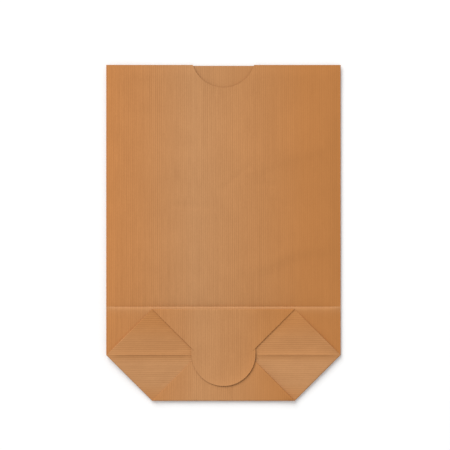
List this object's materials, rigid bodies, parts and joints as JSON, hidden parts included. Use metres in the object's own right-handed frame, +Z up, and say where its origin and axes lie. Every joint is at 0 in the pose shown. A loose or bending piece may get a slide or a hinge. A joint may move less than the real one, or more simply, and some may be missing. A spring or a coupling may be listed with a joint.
{
  "type": "block bottom paper bag",
  "caption": "Flat folded block bottom bag of ribbed brown kraft paper, with a glued tongue flap on its bottom and a thumb cut at its mouth.",
  "frame": {"origin": "on the surface the bag lies on, under the middle of its width and of its length", "axes": "+X across the bag, +Y from the bottom to the mouth, +Z up, out of the face that carries the folded bottom"},
  "size_m": [0.16, 0.2294, 0.0034],
  "materials": {
    "kraft_paper": "matt, ribbed along the bag"
  },
  "bodies": {
    "root": {"paper_bag": "kraft_paper"}
  },
  "joints": []
}
